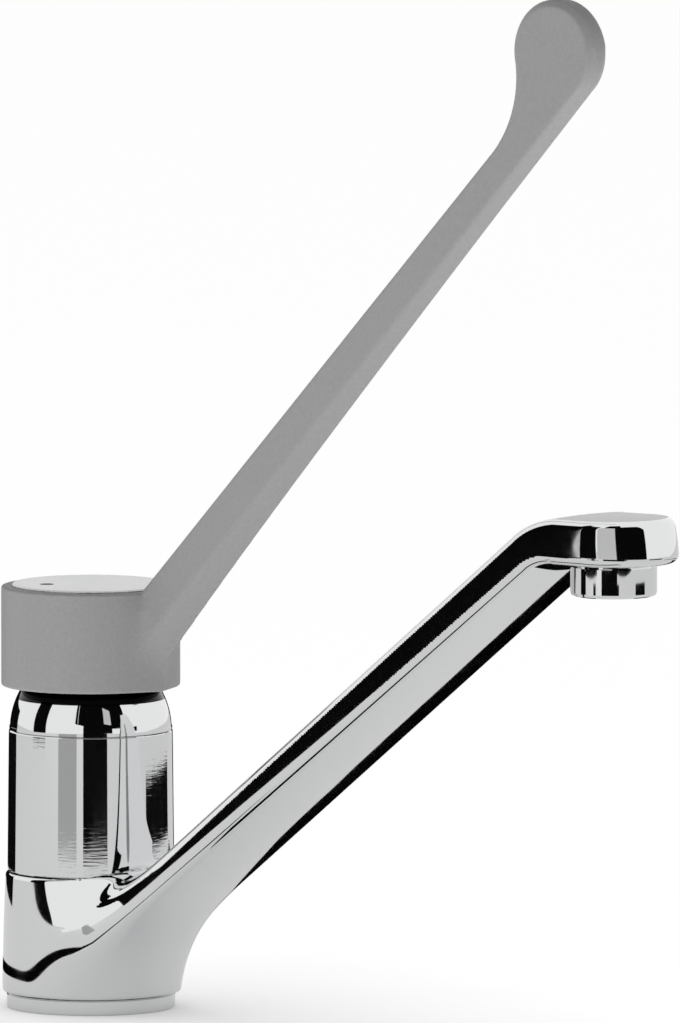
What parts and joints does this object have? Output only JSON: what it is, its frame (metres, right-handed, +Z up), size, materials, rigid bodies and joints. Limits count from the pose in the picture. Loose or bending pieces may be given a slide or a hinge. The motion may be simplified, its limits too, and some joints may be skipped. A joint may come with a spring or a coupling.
{
  "type": "elbow lever tap",
  "caption": "Single-lever worktop mixer tap: chrome body, cast swivel spout with an aerator, and a long grey elbow lever that turns to mix and lifts to open.",
  "frame": {"origin": "on the body axis, in the worktop plane under the base ring", "axes": "+Z up along the body axis, +X the way the spout and the lever point at rest, +Y to the side"},
  "size_m": [0.2469, 0.0512, 0.3005],
  "materials": {
    "chrome": "polished chrome plate",
    "satin_chrome": "satin chrome plate",
    "lever_grey": "fine matte grain",
    "dark_plastic": "matte",
    "white_plastic": "moulded",
    "blue_plastic": "moulded",
    "ceramic": "lapped ceramic",
    "rubber": "moulded rubber",
    "steel": "turned steel",
    "brass": "turned brass"
  },
  "bodies": {
    "root": {"body": "chrome", "base_ring": "chrome", "base_seal": "rubber", "spout_seals": "rubber", "upper_slide_ring": "white_plastic", "lower_slide_ring": "white_plastic", "cartridge_foot": "white_plastic", "cartridge_seals": "rubber", "cartridge_housing": "white_plastic", "fixed_disc": "ceramic", "retaining_nut": "brass", "dome_cap": "chrome"},
    "spout": {"spout": "chrome", "aerator_housing": "chrome", "aerator_insert": "white_plastic", "aerator_screen": "steel", "aerator_washer": "rubber"},
    "rotor": {"rotor": "blue_plastic", "pivot_pin": "steel"},
    "lever": {"lever": "lever_grey", "top_cap": "satin_chrome", "index_dot": "dark_plastic", "handle_screw": "steel", "stem": "steel"},
    "disc": {"moving_disc": "ceramic", "disc_carrier": "blue_plastic"}
  },
  "joints": [
    {"name": "spout_swivel", "type": "hinge", "parent": "root", "child": "spout", "pos_m": [0, 0, 0.02], "axis": [0, 0, 1], "continuous": true},
    {"name": "lever_turn", "type": "hinge", "parent": "root", "child": "rotor", "pos_m": [0, 0, 0.07], "axis": [0, 0, 1], "range_deg": [-45, 45]},
    {"name": "lever_tilt", "type": "hinge", "parent": "rotor", "child": "lever", "pos_m": [0, 0, 0.08], "axis": [0, -1, 0], "range_deg": [0, 25]},
    {"name": "disc_slide", "type": "slide", "parent": "rotor", "child": "disc", "axis": [1, 0, 0], "range_m": [0, 0.00618]}
  ],
  "couplings": [
    {"joint": "disc_slide", "follows": "lever_tilt", "m_per_rad": 0.01414}
  ]
}
